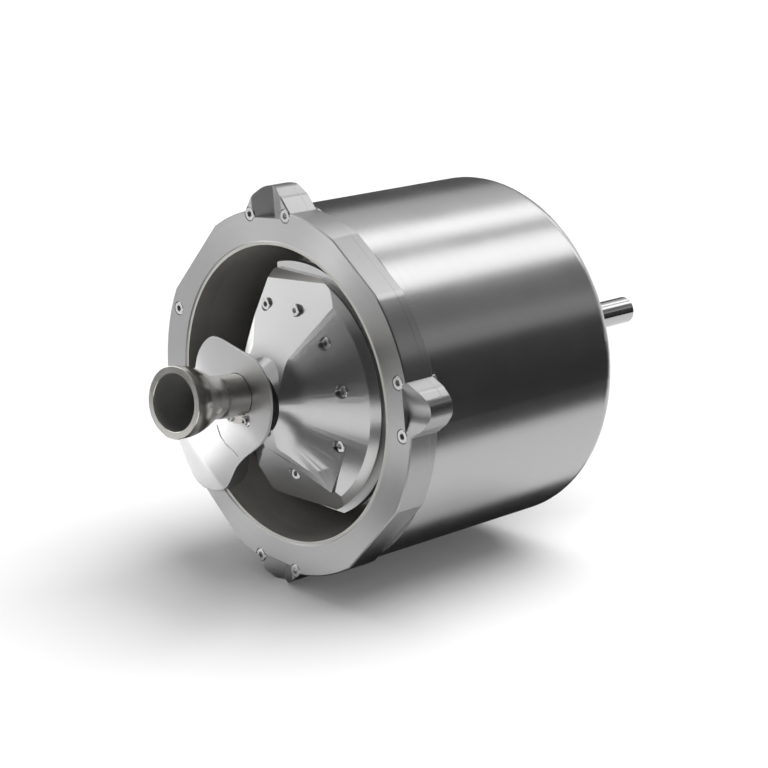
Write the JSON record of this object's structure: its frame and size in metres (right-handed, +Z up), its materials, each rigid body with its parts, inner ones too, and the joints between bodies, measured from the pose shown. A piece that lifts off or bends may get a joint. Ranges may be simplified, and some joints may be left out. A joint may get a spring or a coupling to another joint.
{
  "type": "high shear mixer",
  "caption": "High shear mixer head: steel drum with lugged front ring, offset inlet tube on a bridge, conical rotor and slotted stator in an open bowl, and a plain drive shaft end behind.",
  "frame": {"origin": "centre of the rear mounting face, on the shaft axis", "axes": "+Y along the shaft to the drive end, +Z up, +X to the right seen from the inlet"},
  "size_m": [0.3169, 0.5335, 0.3304],
  "materials": {
    "ring_steel": "milled satin stainless steel",
    "drum_steel": "turned satin stainless steel",
    "bowl_steel": "blasted dark stainless steel",
    "bridge_steel": "milled satin stainless steel",
    "tube_steel": "polished stainless tube",
    "rotor_steel": "fine brushed stainless steel",
    "stator_steel": "machined stainless steel",
    "shaft_steel": "ground steel",
    "screw_steel": "bright stainless fasteners",
    "cartridge_iron": "machined iron casting",
    "bearing_steel": "ground bearing steel",
    "seal_rubber": "nitrile rubber",
    "seal_face": "lapped dark carbide"
  },
  "bodies": {
    "housing": {"front_ring": "ring_steel", "ring_screws": "screw_steel", "drum_flange": "ring_steel", "drum_shell": "drum_steel", "drum_back": "drum_steel", "mixing_bowl": "bowl_steel", "bowl_floor": "bowl_steel", "inlet_bridge": "bridge_steel", "bridge_screws": "screw_steel", "inlet_tube": "tube_steel", "inlet_screws": "screw_steel", "stator_ring": "stator_steel", "stator_screws": "screw_steel", "bearing_housing": "cartridge_iron", "housing_flange": "cartridge_iron", "housing_screws": "screw_steel", "front_bearing_outer_race": "bearing_steel", "rear_bearing_outer_race": "bearing_steel", "bearing_cap": "cartridge_iron", "cap_screws": "screw_steel", "rear_shaft_seal": "seal_rubber", "seal_seat": "seal_face"},
    "rotor": {"drive_shaft": "shaft_steel", "rotor_disc": "rotor_steel", "rotor_vanes": "rotor_steel", "impeller_cone": "rotor_steel", "cone_screws": "screw_steel", "balance_weight": "rotor_steel", "rotor_nut": "screw_steel", "seal_head": "seal_face", "front_bearing_inner_race": "bearing_steel", "rear_bearing_inner_race": "bearing_steel", "retaining_ring": "screw_steel"}
  },
  "joints": [
    {"name": "rotor_spin", "type": "hinge", "parent": "housing", "child": "rotor", "pos_m": [0, 0, 0], "axis": [0, 1, 0], "continuous": true}
  ]
}
